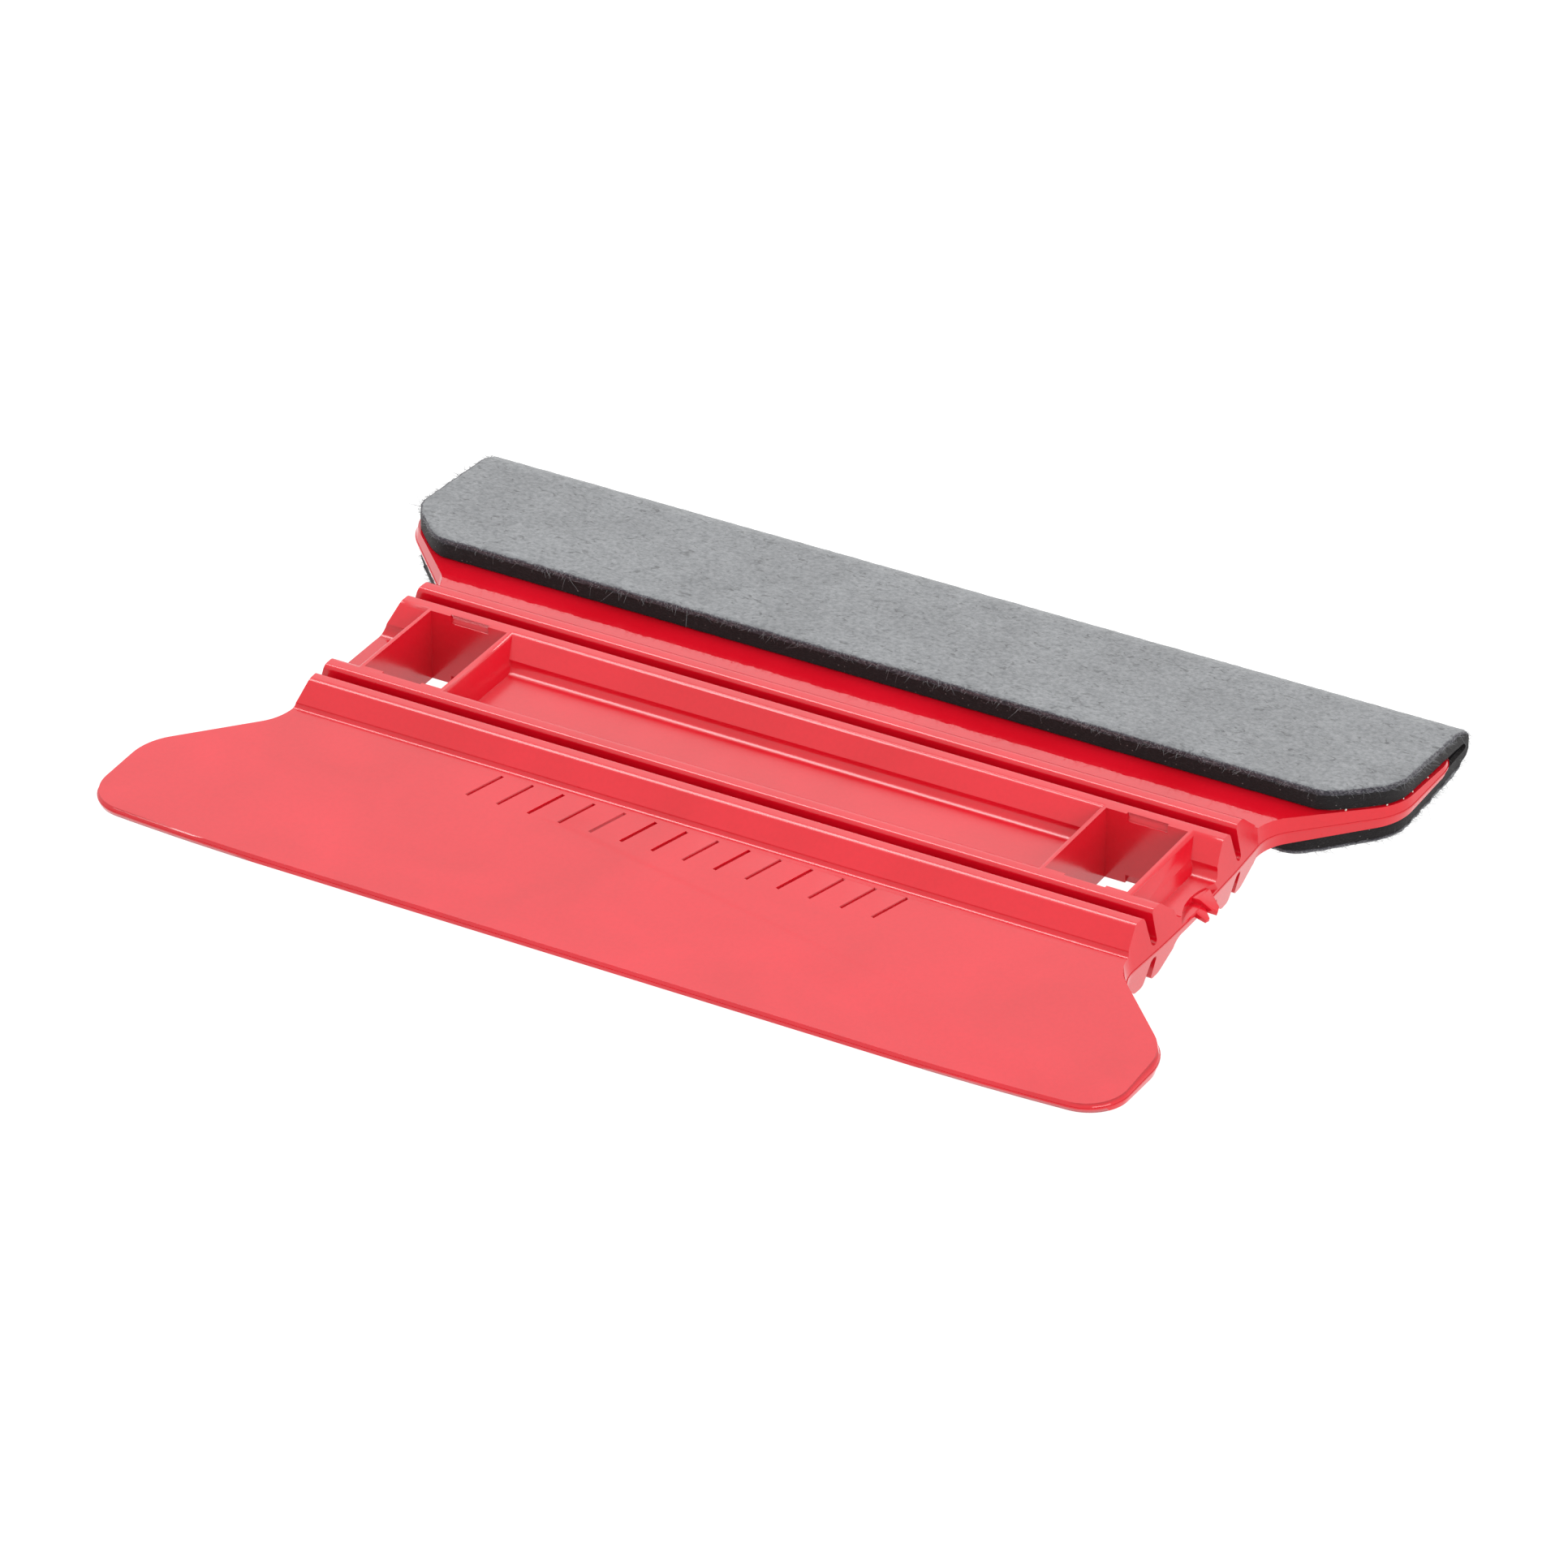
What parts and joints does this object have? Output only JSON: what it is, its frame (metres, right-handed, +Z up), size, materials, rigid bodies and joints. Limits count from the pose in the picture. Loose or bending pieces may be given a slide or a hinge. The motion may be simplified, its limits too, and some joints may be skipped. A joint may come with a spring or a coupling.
{
  "type": "squeegee applicator",
  "caption": "Hand squeegee for laying vinyl film: a flexible moulding with a thin blade along each long side, a ribbed grip between them, and a suede buffer folded over the rear blade.",
  "frame": {"origin": "middle of the whole object's width and depth, on the surface that the lower ribs rest on", "axes": "+X along the blades, +Y towards the buffered rear blade, +Z up through the thickness"},
  "size_m": [0.1272, 0.088, 0.0088],
  "materials": {
    "red_plastic": "semi-gloss injection-moulded, flexible",
    "adhesive": "thin tacky film",
    "black_felt": "dense black felt, cut edge",
    "dark_knit": "fine dark knit",
    "grey_suede": "short grey nap with fine darker flecks"
  },
  "bodies": {
    "root": {"moulded_body": "red_plastic", "adhesive_film": "adhesive", "foam_core": "black_felt", "knit_backing": "dark_knit", "suede_face": "grey_suede"}
  },
  "joints": []
}
